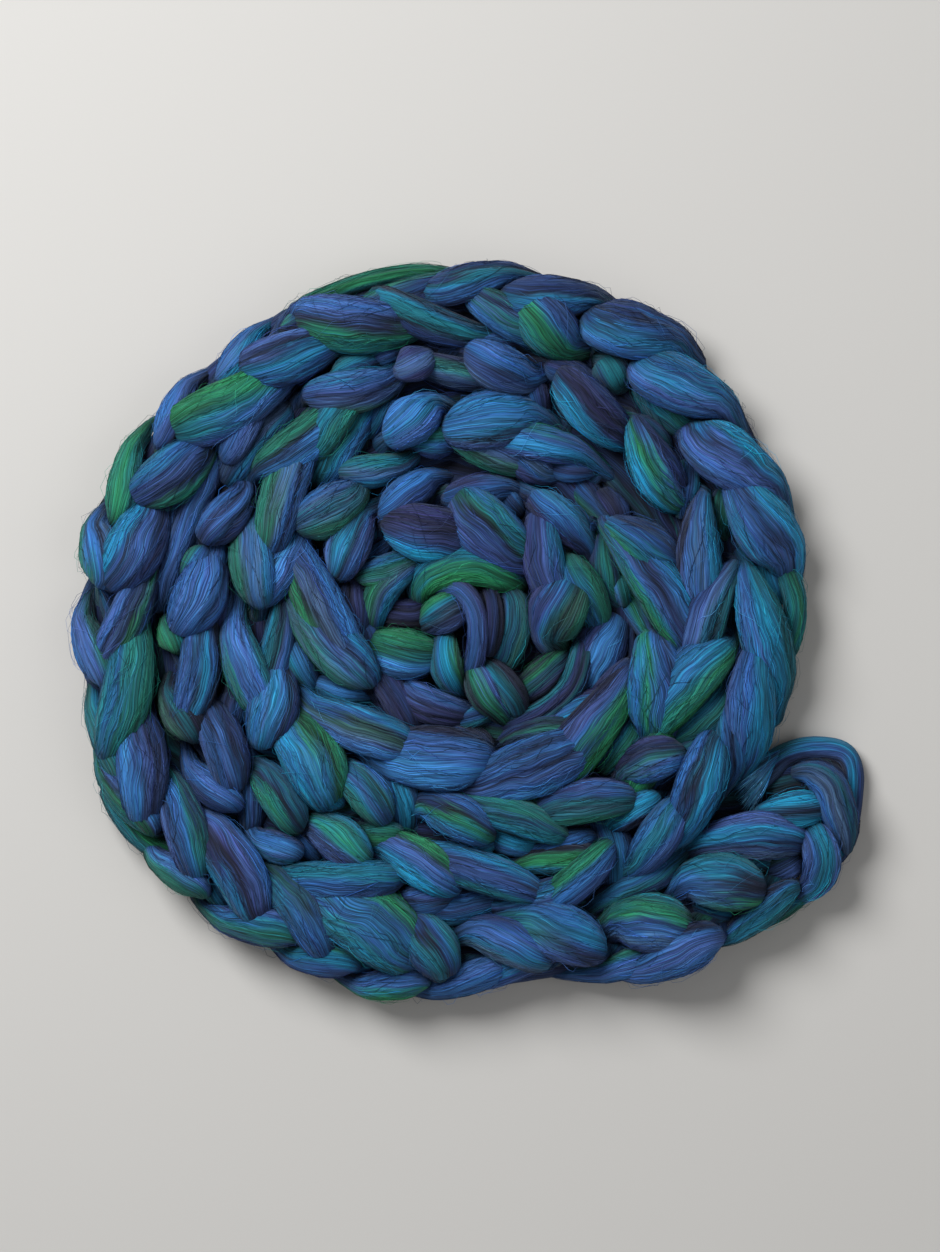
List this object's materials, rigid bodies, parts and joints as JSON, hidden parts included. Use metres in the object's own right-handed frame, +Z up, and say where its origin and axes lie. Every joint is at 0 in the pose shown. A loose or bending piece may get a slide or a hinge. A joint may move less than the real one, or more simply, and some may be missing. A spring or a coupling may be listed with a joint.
{
  "type": "wool roving",
  "caption": "Length of combed wool roving worked into a loose slip-loop chain and coiled flat in a spiral, with its free end tucked at the side.",
  "frame": {"origin": "on the surface it rests on, under the middle of the outline", "axes": "+Z up from the rest face, +X along the longest extent, towards the side where the free end lies, +Y across"},
  "size_m": [0.3368, 0.3086, 0.0359],
  "materials": {
    "dyed_wool": "soft combed wool, blended blue, violet, turquoise and green",
    "dyed_wool_end": "soft combed wool, turquoise and blue"
  },
  "bodies": {
    "root": {"roving_coil": "dyed_wool", "loose_end": "dyed_wool_end"}
  },
  "joints": []
}
